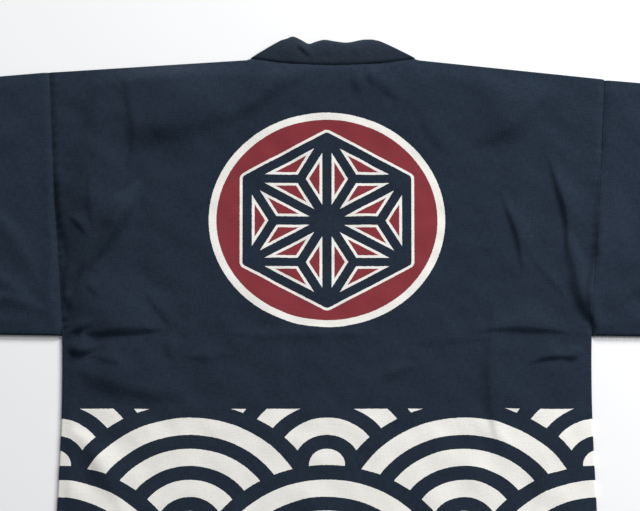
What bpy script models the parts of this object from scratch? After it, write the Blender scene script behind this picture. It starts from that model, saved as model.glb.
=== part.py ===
"""A hanten, the short straight-cut cotton coat worn at festivals, laid flat with its back up.

Units are metres. +X is the right side of the back view, +Y points to the collar and +Z is up.
"Down" is a place on the garment: its distance from the neck points towards the hem.
"""

from collections import namedtuple
from math import cos, pi, sin

import bmesh
import bpy
import numpy as np

# Body
BODY_LENGTH = 0.840
UNDERARM = 0.353
SHOULDER_FALL = {-1: 0.016, 1: 0.026}
NECK_DIP = 0.0085

# Sleeves
SLEEVE_LENGTH = 0.322
CUFF_FALL = 0.030
CUFF_DEPTH = 0.302
CUFF_SLANT = 0.018

# Collar band
NECK_HALF = 0.094
COLLAR_SHIFT = 0.007
COLLAR_TOP = -0.0287
COLLAR_CORNER = {-1: (-0.046, -0.0265), 1: (0.0535, -0.0250)}
COLLAR_SEAM_HALF = 0.062
FRONT_GAP_HALF = 0.007
NECKLINE_END = 0.260
NECKLINE_CURVE = 1.4
NECK_CORNER = 0.006
TURN_BULGE = 0.0024

# Cloth and how it lies
CLOTH = 0.0012
BAND = 0.0016
SEAM = 0.0003
LAYER_TOP = 0.0036
EDGE_ROLL = 0.0021
ROLL_DEPTH = 0.0013
SEAM_GROOVE = 0.0007
GROOVE_REACH = 0.0030
EDGE_EASE = 0.016
SHOULDER_EASE = 0.027
NECK_SHARE = 0.5
REST_LIFT = 0.0010
REST_SWAY = 0.4
SWAY_ACROSS = 0.37
SWAY_DOWN = 0.48
NECK_LIFT = 0.0012
NECK_LIFT_ACROSS = 0.115
NECK_LIFT_DOWN = 0.045
FOLD_TIP = 0.3
FOLD_FULLNESS = 0.8
UNDERARM_BLEND = 0.012

# How finely the solids follow it
CELL = 0.0125
FINEST_BACK_FOLD = 0.011
FINEST_SLEEVE_FOLD = 0.020
FOLDS_END = 0.450
PLAIN_CELL = 0.036
SLEEVE_STEPS = 13
NECK_STEPS = 8
COLLAR_STEPS = 16
EDGE_STEPS = (0.0, 0.0006, EDGE_ROLL, 0.008)

Side = namedtuple("Side", "down half_width")
SIDE_LINE = [
    Side(0.000, 0.3215),
    Side(0.150, 0.3150),
    Side(0.260, 0.3085),
    Side(0.353, 0.3035),
    Side(0.420, 0.3030),
    Side(0.600, 0.3085),
    Side(0.840, 0.3120),
]

# A fold runs from start over bend to end, each (x, down). Its crest has a width on the left and
# one on the right of that way, a height, and the share of the way where it is highest and widest.
Fold = namedtuple("Fold", "name start bend end left right height peak", defaults=(0.5,))
FOLDS = [
    Fold("left armhole fall", (-0.262, 0.008), (-0.269, 0.200), (-0.289, 0.388), 0.0700, 0.0330, 0.0110, 0.4),
    Fold("left underarm fall", (-0.262, 0.258), (-0.270, 0.320), (-0.282, 0.374), 0.0400, 0.0240, 0.0046),
    Fold("left armhole slant", (-0.212, 0.140), (-0.245, 0.208), (-0.282, 0.292), 0.0090, 0.0130, 0.0074, 0.45),
    Fold("left shoulder drop", (-0.232, 0.040), (-0.212, 0.104), (-0.226, 0.190), 0.0450, 0.0120, 0.0060, 0.4),
    Fold("left shoulder slant", (-0.058, 0.047), (-0.140, 0.081), (-0.216, 0.095), 0.0170, 0.0450, 0.0038, 0.66),
    Fold("left shoulder broad", (-0.094, 0.055), (-0.172, 0.062), (-0.256, 0.082), 0.0480, 0.1100, 0.0096, 0.6),
    Fold("left side rise", (-0.150, -0.100), (-0.182, 0.070), (-0.182, 0.262), 0.1200, 0.0450, 0.0046, 0.45),
    Fold("left shoulder turn", (-0.180, 0.082), (-0.206, 0.098), (-0.232, 0.136), 0.0150, 0.0400, 0.0034),
    Fold("left neck", (-0.034, 0.010), (-0.064, 0.041), (-0.106, 0.087), 0.0080, 0.0200, 0.0050, 0.42),
    Fold("left neck inner", (-0.008, 0.006), (-0.031, 0.024), (-0.060, 0.052), 0.0060, 0.0140, 0.0025),
    Fold("left side sag", (-0.210, 0.290), (-0.192, 0.316), (-0.177, 0.347), 0.0180, 0.0070, 0.0023),
    Fold("left underarm", (-0.288, 0.354), (-0.238, 0.348), (-0.184, 0.344), 0.0500, 0.0070, 0.0048, 0.6),
    Fold("left underarm low", (-0.303, 0.359), (-0.284, 0.374), (-0.256, 0.363), 0.0260, 0.0056, 0.0046),
    Fold("left side slant", (-0.290, 0.392), (-0.235, 0.416), (-0.150, 0.432), 0.0850, 0.0160, 0.0056, 0.38),
    Fold("right neck", (0.045, 0.005), (0.053, 0.022), (0.062, 0.043), 0.0120, 0.0038, 0.0040),
    Fold("right disc edge", (0.107, 0.063), (0.123, 0.096), (0.139, 0.134), 0.0200, 0.0090, 0.0025),
    Fold("right shoulder slant", (0.172, 0.106), (0.224, 0.074), (0.300, 0.036), 0.0500, 0.0210, 0.0064),
    Fold("right armhole long", (0.250, 0.118), (0.274, 0.189), (0.274, 0.268), 0.0160, 0.0050, 0.0053, 0.55),
    Fold("right armhole long low", (0.273, 0.213), (0.291, 0.288), (0.310, 0.352), 0.0150, 0.0100, 0.0072, 0.62),
    Fold("right armhole slant", (0.198, 0.162), (0.215, 0.213), (0.227, 0.276), 0.0140, 0.0044, 0.0039, 0.68),
    Fold("right armhole seam", (0.315, 0.172), (0.309, 0.264), (0.301, 0.353), 0.0120, 0.0040, 0.0044),
    Fold("right underarm", (0.175, 0.349), (0.229, 0.343), (0.285, 0.356), 0.0200, 0.0056, 0.0033),
    Fold("right underarm low", (0.225, 0.393), (0.256, 0.382), (0.291, 0.385), 0.0140, 0.0036, 0.0028),
    Fold("right side slant", (0.294, 0.371), (0.283, 0.379), (0.269, 0.389), 0.0050, 0.0100, 0.0024),
    Fold("right packing crease", (0.194, 0.303), (0.189, 0.379), (0.196, 0.500), 0.0150, 0.0095, 0.0043, 0.72),
    Fold("right low slant", (0.058, 0.413), (0.080, 0.401), (0.106, 0.389), 0.0120, 0.0050, 0.0022),
    Fold("shoulder rise", (-0.330, 0.046), (0.000, 0.036), (0.330, 0.046), 0.0700, 0.0900, 0.0044),
    Fold("hem sway left", (-0.240, 0.560), (-0.200, 0.690), (-0.215, 0.830), 0.0300, 0.0240, 0.0036),
    Fold("hem sway right", (0.130, 0.600), (0.165, 0.710), (0.150, 0.830), 0.0240, 0.0280, 0.0033),
    Fold("left side low", (-0.296, 0.470), (-0.262, 0.520), (-0.222, 0.600), 0.0180, 0.0080, 0.0027),
    Fold("right side low", (0.300, 0.440), (0.262, 0.505), (0.238, 0.610), 0.0080, 0.0200, 0.0028),
    Fold("left sleeve lie", (-0.330, 0.060), (-0.430, 0.130), (-0.560, 0.120), 0.0180, 0.0260, 0.0036),
    Fold("left sleeve sag", (-0.318, 0.332), (-0.420, 0.262), (-0.560, 0.240), 0.0220, 0.0100, 0.0039),
    Fold("left sleeve pull", (-0.322, 0.312), (-0.372, 0.215), (-0.450, 0.150), 0.0200, 0.0080, 0.0028),
    Fold("left sleeve underarm", (-0.316, 0.325), (-0.385, 0.306), (-0.470, 0.318), 0.0120, 0.0050, 0.0028),
    Fold("left sleeve elbow", (-0.455, 0.055), (-0.486, 0.150), (-0.470, 0.260), 0.0160, 0.0070, 0.0020),
    Fold("right sleeve lie", (0.330, 0.070), (0.450, 0.110), (0.570, 0.160), 0.0180, 0.0300, 0.0034),
    Fold("right sleeve sag", (0.316, 0.330), (0.410, 0.275), (0.540, 0.285), 0.0240, 0.0090, 0.0039),
    Fold("right sleeve pull", (0.326, 0.306), (0.380, 0.200), (0.430, 0.105), 0.0080, 0.0180, 0.0027),
    Fold("right sleeve elbow", (0.500, 0.075), (0.478, 0.180), (0.505, 0.300), 0.0070, 0.0180, 0.0022),
]


def smooth(t):
    t = np.clip(t, 0.0, 1.0)
    return t * t * (3.0 - 2.0 * t)


def through(rows, at):
    """The second column of a table at a value of its first, on a smooth line through the rows."""
    known, value = np.array(rows, float).T
    slope = np.gradient(value, known)
    at = np.clip(at, known[0], known[-1])
    k = np.clip(np.searchsorted(known, at, side="right") - 1, 0, len(known) - 2)
    span = known[k + 1] - known[k]
    t = (at - known[k]) / span
    ends = (1 + 2 * t) * (1 - t) ** 2 * value[k] + t * t * (3 - 2 * t) * value[k + 1]
    return ends + span * (t * (1 - t) ** 2 * slope[k] - t * t * (1 - t) * slope[k + 1])


def half_width(down):
    """Half the width of the body."""
    return through(SIDE_LINE, down)


def neck_offset(x):
    """Distance from the collar's middle, as a share of the neck's half width."""
    return (x - COLLAR_SHIFT) / NECK_HALF


def top_line(x):
    """How far down the back's top edge lies: the neck seam in the middle, a shoulder on each side."""
    reach = np.abs(neck_offset(x))
    fall = np.where(x < 0, SHOULDER_FALL[-1], SHOULDER_FALL[1])
    shoulder = fall * (np.abs(x - COLLAR_SHIFT) - NECK_HALF) / (half_width(0.0) - NECK_HALF)
    return np.where(reach < 1, NECK_DIP * (1 - reach**2), shoulder)


def fold_path(fold, steps=16):
    """Points along the fold, on a curve that passes through its bend."""
    t = np.linspace(0, 1, steps + 1)[:, None]
    start, bend, end = (np.array(place) for place in (fold.start, fold.bend, fold.end))
    pull = 2 * bend - (start + end) / 2
    return (1 - t) ** 2 * start + 2 * t * (1 - t) * pull + t * t * end


def fold_lift(fold, x, down, finest):
    """Height that one fold adds: a soft crest, no narrower than the finest width, with faded ends."""
    path = fold_path(fold)
    nearest = np.full(x.shape, 1e9)
    side = np.ones(x.shape)
    along = np.zeros(x.shape)
    for k, (a, b) in enumerate(zip(path[:-1], path[1:])):
        way = b - a
        t = np.clip(((x - a[0]) * way[0] + (down - a[1]) * way[1]) / (way @ way), 0, 1)
        off_x, off_down = x - a[0] - t * way[0], down - a[1] - t * way[1]
        away = np.hypot(off_x, off_down)
        closer = away < nearest
        nearest = np.where(closer, away, nearest)
        side = np.where(closer, way[1] * off_x - way[0] * off_down, side)
        along = np.where(closer, (k + t) / (len(path) - 1), along)
    fade = smooth(along / fold.peak) * smooth((1 - along) / (1 - fold.peak))
    width = np.where(side > 0, fold.left, fold.right) * (FOLD_TIP + (1 - FOLD_TIP) * fade)
    return fold.height * fade**FOLD_FULLNESS * np.exp(-((nearest / np.maximum(width, finest)) ** 2))


def cloth_top(x, down, finest):
    """Height of the upper layer over the surface the garment lies on, away from its edges."""
    x, down = np.asarray(x, float), np.asarray(down, float)
    sway = np.sin(2 * pi * x / SWAY_ACROSS + 1) * np.cos(2 * pi * down / SWAY_DOWN)
    at_neck = np.exp(-(((x - COLLAR_SHIFT) / NECK_LIFT_ACROSS) ** 2) - (down / NECK_LIFT_DOWN) ** 2)
    lift = REST_LIFT * (1 + REST_SWAY * sway) + NECK_LIFT * at_neck
    for fold in FOLDS:
        lift = lift + fold_lift(fold, x, down, finest)
    return LAYER_TOP + np.maximum(lift, 0.0)


def edge_drop(inset, seamed):
    """How far the upper layer sinks near an edge: a groove where it is seamed flat, else a roll."""
    short = np.maximum(1 - inset / EDGE_ROLL, 0)
    roll = ROLL_DEPTH * (1 - np.sqrt(1 - short**2))
    groove = SEAM_GROOVE * np.exp(-((inset / GROOVE_REACH) ** 2))
    return seamed * groove + (1 - seamed) * roll


def place(x, down, z):
    """A point of the garment in the world, with the middle of its length over the origin."""
    middle = (BODY_LENGTH + COLLAR_TOP) / 2
    return np.stack(np.broadcast_arrays(x, middle - np.asarray(down, float), z), axis=-1)


def steps_between(start, end, cell=CELL):
    """Evenly spaced values about a cell apart, with the end left out."""
    return np.linspace(start, end, max(1, round(abs(end - start) / cell)), endpoint=False)


def cotton(name, hex_colour, roughness):
    """Plain woven cotton of one colour."""
    channels = [int(hex_colour[k : k + 2], 16) / 255 for k in (0, 2, 4)]
    linear = [c / 12.92 if c <= 0.04045 else ((c + 0.055) / 1.055) ** 2.4 for c in channels]
    material = bpy.data.materials.new(name)
    material.use_nodes = True
    shader = material.node_tree.nodes["Principled BSDF"]
    shader.inputs["Base Color"].default_value = (*linear, 1.0)
    shader.inputs["Roughness"].default_value = roughness
    shader.inputs["Metallic"].default_value = 0.0
    return material


def lofted(name, sections, wall, material, collection, ring=False, turned=False):
    """A cloth wall through the sections, each a row of points on its outer face.

    With ring, a section closes on itself. With turned, the outer face is the other side.
    """
    shape = bmesh.new()
    rows = [[shape.verts.new(point) for point in section] for section in sections]
    count = len(rows[0])
    for upper, lower in zip(rows[:-1], rows[1:]):
        for k in range(count if ring else count - 1):
            after = (k + 1) % count
            corners = [upper[k], lower[k], lower[after], upper[after]]
            shape.faces.new(corners[::-1] if turned else corners)
    mesh = bpy.data.meshes.new(name)
    shape.to_mesh(mesh)
    shape.free()
    mesh.shade_smooth()
    mesh.materials.append(material)
    piece = bpy.data.objects.new(name, mesh)
    collection.objects.link(piece)
    thickness = piece.modifiers.new("Wall", "SOLIDIFY")
    thickness.thickness = wall
    thickness.offset = -1.0
    thickness.use_even_offset = True
    return piece


def make_back(material, collection):
    """The back panel: rolled down to the fronts at shoulders, sides and hem, flat at the armholes."""
    side = half_width(0.0)
    neck_left, neck_right = COLLAR_SHIFT - NECK_HALF, COLLAR_SHIFT + NECK_HALF
    inner = side - EDGE_STEPS[-1]
    columns = np.concatenate([
        [-side + step for step in EDGE_STEPS[:-1]],
        steps_between(-inner, neck_left - NECK_CORNER),
        [neck_left - NECK_CORNER],
        np.linspace(neck_left, neck_right, NECK_STEPS + 1),
        steps_between(neck_right + NECK_CORNER, inner),
        [side - step for step in EDGE_STEPS[::-1]],
    ])
    top = top_line(columns)
    in_neck = (np.abs(neck_offset(columns)) < 1.001).astype(float)
    rows = np.concatenate([
        EDGE_STEPS[:-1],
        steps_between(EDGE_STEPS[-1], FOLDS_END),
        steps_between(FOLDS_END, BODY_LENGTH - EDGE_STEPS[-1], PLAIN_CELL),
        [BODY_LENGTH - step for step in EDGE_STEPS[::-1]],
    ])
    over_collar = LAYER_TOP - CLOTH - SEAM - BAND
    sections = []
    for row in rows:
        down = row + top * (1 - smooth(row / BODY_LENGTH))
        to_side, to_hem = side - np.abs(columns), BODY_LENGTH - row
        armhole = 1 - smooth((down - UNDERARM) / UNDERARM_BLEND + 0.3)
        lift = cloth_top(columns / side * half_width(down), down, FINEST_BACK_FOLD) - LAYER_TOP
        lift = lift * (armhole + (1 - armhole) * smooth(to_side / EDGE_EASE))
        shoulder = sin(pi / 2 * min(row / SHOULDER_EASE, 1))
        held_up = NECK_SHARE * in_neck
        lift = lift * (held_up + (1 - held_up) * shoulder) * smooth(to_hem / EDGE_EASE)
        drop = np.maximum(edge_drop(to_side, armhole), edge_drop(row, in_neck))
        drop = np.maximum(drop, np.minimum(edge_drop(to_hem, 0.0), over_collar))
        sections.append(place(columns / side * half_width(down), down, LAYER_TOP + lift - drop))
    return lofted("back", sections, CLOTH, material, collection)


def collar_middle(down):
    """The collar lies a little to the right at the neck, and in the middle at the hem."""
    return COLLAR_SHIFT * (1 - np.maximum(down, 0) / BODY_LENGTH)


def band_seam(down, side):
    """X of the seam between a front and the collar."""
    opened = np.maximum(1 - down / NECKLINE_END, 0) ** NECKLINE_CURVE
    return collar_middle(down) + side * (COLLAR_SEAM_HALF + (NECK_HALF - COLLAR_SEAM_HALF) * opened)


def band_edge(down, side):
    """X of the collar's free edge on a front."""
    corner_x, corner_down = COLLAR_CORNER[side]
    opened = np.maximum(1 - (down - corner_down) / (NECKLINE_END - corner_down), 0) ** NECKLINE_CURVE
    closed = side * FRONT_GAP_HALF
    return collar_middle(down) + closed + (corner_x - COLLAR_SHIFT - closed) * opened


NECKLINE_ROWS = np.linspace(0, NECKLINE_END, 13)
COLLAR_ROWS = np.append(NECKLINE_ROWS[:-1], np.linspace(NECKLINE_END, BODY_LENGTH, 6))
FRONT_ROWS = np.append(NECKLINE_ROWS[:-1], np.linspace(NECKLINE_END, BODY_LENGTH, 28))


def make_front(name, side, material, collection):
    """A front panel, face down on the surface."""
    fall = SHOULDER_FALL[side]
    sections = []
    for row in FRONT_ROWS:
        outer_down = fall + row * (1 - fall / BODY_LENGTH)
        inner = np.array([band_seam(row, side) + side * SEAM, row])
        outer = np.array([side * (half_width(outer_down) - SEAM / 2), outer_down])
        line = [inner + (outer - inner) * t for t in np.linspace(0, 1, 5)]
        sections.append([place(x, down, 0.0) for x, down in line])
    return lofted(name, sections, CLOTH, material, collection, turned=side > 0)


def make_sleeve(name, side, material, collection):
    """A sleeve: a flat tube from the armhole to the open cuff, flat below and folded at its top."""
    fall = SHOULDER_FALL[side]
    depth = UNDERARM - fall
    upper = np.concatenate([[0.008], np.linspace(0.024, depth - 0.024, SLEEVE_STEPS), [depth - 0.008]])
    bend = np.linspace(0, pi, 5)[1:-1]

    def plan(along, t):
        """A place on the sleeve, from the armhole to the cuff and from its fold to its underarm seam."""
        down = fall + t * depth
        armhole = np.array([side * (half_width(down) + SEAM), down])
        reach = side * (half_width(0.0) + SLEEVE_LENGTH - CUFF_SLANT * t)
        cuff = np.array([reach, fall + CUFF_FALL + t * CUFF_DEPTH])
        return armhole + (cuff - armhole) * along

    sections = []
    for along in np.concatenate([[0.0, 0.007, 0.024], np.linspace(0.06, 1, 12)]):
        height = LAYER_TOP - SEAM_GROOVE * np.exp(-((along * SLEEVE_LENGTH / GROOVE_REACH) ** 2))
        radius = height / 2
        fold_edge, seam_edge = plan(along, 0.0), plan(along, 1.0)
        inset = radius / np.linalg.norm(seam_edge - fold_edge)
        outward = (seam_edge - fold_edge) * inset
        ring = []
        for step in upper:
            x, down = plan(along, step / depth)
            lift = cloth_top(x, down, FINEST_SLEEVE_FOLD) - LAYER_TOP
            lift = lift * smooth(min(step, depth - step) / EDGE_EASE)
            ring.append((x, down, height + lift))
        ring.append((*plan(along, 1 - inset), height))
        ring += [(*(plan(along, 1 - inset) + outward * sin(a)), radius * (1 + cos(a))) for a in bend]
        ring += [(*plan(along, t), 0.0) for t in np.linspace(1 - inset, inset, SLEEVE_STEPS)]
        ring += [(*(plan(along, inset) - outward * sin(a)), radius * (1 - cos(a))) for a in bend]
        ring.append((*plan(along, inset), height))
        sections.append([place(x, down, z) for x, down, z in ring])
    return lofted(name, sections, CLOTH, material, collection, ring=True, turned=side > 0)


# Where the collar's free edge lies on the back neck, from its left corner at -1 to its right at 1.
EdgePlace = namedtuple("EdgePlace", "share down")
COLLAR_EDGE = [
    EdgePlace(-1.00, COLLAR_CORNER[-1][1]),
    EdgePlace(-0.88, COLLAR_TOP),
    EdgePlace(-0.70, -0.0250),
    EdgePlace(-0.50, -0.0190),
    EdgePlace(-0.34, -0.0218),
    EdgePlace(-0.16, -0.0243),
    EdgePlace(0.10, -0.0225),
    EdgePlace(0.36, -0.0208),
    EdgePlace(0.80, -0.0248),
    EdgePlace(1.00, COLLAR_CORNER[1][1]),
]

# Height of the collar's outer face where it turns over at the neck points, and at the middle of
# the back neck, from the seam to the free edge.
Arch = namedtuple("Arch", "across turn middle")
ARCH = [
    Arch(0.00, 0.0048, 0.0048),
    Arch(0.10, 0.0062, 0.0068),
    Arch(0.32, 0.0070, 0.0076),
    Arch(0.54, 0.0075, 0.0081),
    Arch(0.76, 0.0073, 0.0081),
    Arch(0.90, 0.0064, 0.0074),
    Arch(1.00, 0.0050, 0.0056),
]


def make_collar(material, collection):
    """The collar: up one front edge, over at the neck point, across the back neck and down again."""
    across = np.array([row.across for row in ARCH])
    turn = np.array([row.turn for row in ARCH])
    middle = np.array([row.middle for row in ARCH])
    sections = {-1: [], 1: []}
    for side in (-1, 1):
        for row in COLLAR_ROWS[::-1]:
            share = min(row / NECKLINE_END, 1.0)
            edge_down = row + COLLAR_CORNER[side][1] * (1 - share)
            seam_end = np.array([band_seam(row, side), row - SEAM * (1 - share)])
            free_end = np.array([band_edge(edge_down, side), edge_down])
            line = seam_end + (free_end - seam_end) * across[:, None]
            sections[side].append(place(line[:, 0], line[:, 1], 0.0))
        crease = free_end - seam_end
        outward = np.array([-crease[1], crease[0]]) * side / np.linalg.norm(crease)
        for angle in np.linspace(0, pi, 6)[1:]:
            bulge = line + outward * (TURN_BULGE * sin(angle))
            sections[side].append(place(bulge[:, 0], bulge[:, 1], turn / 2 * (1 - cos(angle))))
    back = []
    left, right = COLLAR_CORNER[-1][0], COLLAR_CORNER[1][0]
    for share in np.linspace(-1, 1, COLLAR_STEPS + 1)[1:-1]:
        seam_end = np.array([COLLAR_SHIFT + share * NECK_HALF, NECK_DIP * (1 - share**2) - SEAM])
        free_end = np.array([left + (right - left) * (share + 1) / 2, through(COLLAR_EDGE, share)])
        line = seam_end + (free_end - seam_end) * across[:, None]
        back.append(place(line[:, 0], line[:, 1], turn + (middle - turn) * (1 - share**4)))
    return lofted("collar", sections[-1] + back + sections[1][::-1], BAND, material, collection)


def main():
    for leftover in list(bpy.data.objects):
        bpy.data.objects.remove(leftover)
    garment = bpy.data.collections.new("hanten")
    bpy.context.scene.collection.children.link(garment)
    make_back(cotton("back cotton", "222e3c", 0.92), garment)
    for word, side in (("left", -1), ("right", 1)):
        make_front(f"front_{word}", side, cotton(f"front {word} cotton", "222e3c", 0.92), garment)
        make_sleeve(f"sleeve_{word}", side, cotton(f"sleeve {word} cotton", "232f3e", 0.92), garment)
    make_collar(cotton("collar cotton", "29333f", 0.88), garment)


main()
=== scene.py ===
"""Dresses a hanten that lies flat with its back up: its cloth, folds, print, seams and stitches.

Units are metres. "Down" is a place on the garment: its distance from the neck points to the hem.
"""

from collections import namedtuple
from math import cos, pi, radians, sin

import bpy
import numpy as np
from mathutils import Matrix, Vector


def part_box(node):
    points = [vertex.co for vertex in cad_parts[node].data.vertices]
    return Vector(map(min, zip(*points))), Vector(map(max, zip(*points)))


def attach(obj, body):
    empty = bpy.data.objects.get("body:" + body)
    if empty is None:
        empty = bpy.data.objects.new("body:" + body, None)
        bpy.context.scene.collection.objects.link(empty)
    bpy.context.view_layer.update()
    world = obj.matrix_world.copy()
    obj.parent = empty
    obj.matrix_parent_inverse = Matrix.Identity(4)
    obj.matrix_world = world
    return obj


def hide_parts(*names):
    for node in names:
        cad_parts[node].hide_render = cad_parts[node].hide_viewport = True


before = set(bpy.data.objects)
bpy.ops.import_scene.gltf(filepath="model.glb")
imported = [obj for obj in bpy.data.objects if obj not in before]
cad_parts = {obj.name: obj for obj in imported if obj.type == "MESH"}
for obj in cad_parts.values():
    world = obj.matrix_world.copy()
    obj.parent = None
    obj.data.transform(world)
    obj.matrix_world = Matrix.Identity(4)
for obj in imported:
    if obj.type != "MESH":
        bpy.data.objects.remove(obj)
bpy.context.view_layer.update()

# Cut of the body
BODY_LENGTH = 0.840
HEM_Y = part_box("back")[0].y
UNDERARM = 0.353
SHOULDER_FALL = {-1: 0.016, 1: 0.026}
NECK_DIP = 0.0085

# Cut of the sleeves
SLEEVE_LENGTH = 0.322
CUFF_FALL = 0.030
CUFF_DEPTH = 0.302
CUFF_SLANT = 0.018
SLEEVE_MARGIN = 0.006
SLEEVE_CUT_ROUND = 0.64

# Cut of the collar band
NECK_HALF = 0.094
COLLAR_SHIFT = 0.007
COLLAR_CORNER = {-1: (-0.046, -0.0265), 1: (0.0535, -0.0250)}
COLLAR_SEAM_HALF = 0.062
FRONT_GAP_HALF = 0.007
NECKLINE_END = 0.260
NECKLINE_CURVE = 1.4
NECK_CORNER = 0.006
TURN_BULGE = 0.0021
CORNER_ROUND = 0.16
COLLAR_CUT = (0.056, 1.93)
FRONT_CUT_WIDE = 0.255

# The cloth and how it lies
CLOTH = 0.0008
FRONT_CLOTH = 0.0012
BAND = 0.0012
SEAM = 0.00006
LAYER_TOP = 0.0036
EDGE_ROLL = 0.0021
ROLL_DEPTH = 0.0013
SEAM_GROOVE = 0.0020
NECK_GROOVE = 0.0012
GROOVE_REACH = 0.0036
EDGE_EASE = 0.016
SHOULDER_EASE = 0.027
NECK_SHARE = 0.5
REST_LIFT = 0.0010
REST_SWAY = 0.4
SWAY_ACROSS = 0.37
SWAY_DOWN = 0.48
NECK_LIFT = 0.0012
NECK_LIFT_ACROSS = 0.115
NECK_LIFT_DOWN = 0.045
FOLD_TIP = 0.3
FOLD_FULLNESS = 0.8
FOLD_STRAY = 0.0014
FOLD_STRAY_WAVES = (0.087, 0.131)
UNDERARM_BLEND = 0.012
HEM_TURN = 0.020
HEM_STEP = 0.0003
HEM_STEP_WIDE = 0.001
CRUMPLE = 0.00022
CRUMPLE_WAVES = (0.016, 0.060)
PUCKER = 0.00035
PUCKER_WAVE = 0.013
PUCKER_REACH = 0.011

# Stitches along the hems
STITCH_PITCH = 0.0034
STITCH_LENGTH = 0.0025
STITCH_THICKNESS = 0.0005
STITCH_INSET = HEM_TURN - 0.0022
STITCH_MARGIN = 0.004
STITCH_REST = 0.0001

# The print
DISC_DOWN = 0.2076
DISC_RADIUS = 0.1360
DISC_RIM = 0.0088
STAR_RADIUS = 0.106
STAR_LINE = 0.0108
STAR_OUTLINE = 0.0032
WAVE_RADIUS = 0.1565
WAVE_BAND = 0.0196
WAVE_BLEED = 0.001
WAVE_FIRST_DOWN = 0.5183
WAVES_TOP = 0.4472
CREAM = "efede6"
RED = "84333a"
INK_WOBBLE = 0.0010
INK_WOBBLES_PER_METRE = 400.0

# The cotton's own pattern. Its threads are drawn about three times as coarse as real ones, which
# would be too fine to show at the size of the picture.
THREADS_PER_METRE = 760.0
STREAKS_PER_METRE = 95.0
MOTTLES_PER_METRE = 210.0
DYE_CLOUDS_PER_METRE = 14.0
WEAVE_RELIEF = 0.0003
TWISTS_PER_METRE = 2600.0

# What the camera sees: 640 by 511 pixels, each this wide on the cloth
PHOTO_WIDTH = 640
PIXEL = 0.001149
VIEW_CENTRE = Vector((-0.008, HEM_Y + BODY_LENGTH - 0.2526, 0.005))
VIEW_ELEVATION = radians(64.16)
LENS = 900.0
SENSOR = 36.0

# The floor lies just below the garment's underside, so that the two faces never share a plane
FLOOR_HALF = 60.0
FLOOR_HEIGHT = -0.0002
ROOM_LIGHT = 0.24
LIGHT_AIM = Vector((0.0, 0.2, 0.0))
Softbox = namedtuple("Softbox", "name place size power")
SOFTBOXES = [
    Softbox("high softbox", (1.88, 7.18, 3.18), (3.6, 2.2), 745.0),
    Softbox("near softbox", (1.48, 0.89, 1.15), (1.0, 0.7), 22.0),
]

# Half the body's width, from the shoulders down to the hem
Side = namedtuple("Side", "down half_width")
SIDE_LINE = [
    Side(0.000, 0.3215),
    Side(0.150, 0.3150),
    Side(0.260, 0.3085),
    Side(0.353, 0.3035),
    Side(0.420, 0.3030),
    Side(0.600, 0.3085),
    Side(0.840, 0.3120),
]

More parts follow.
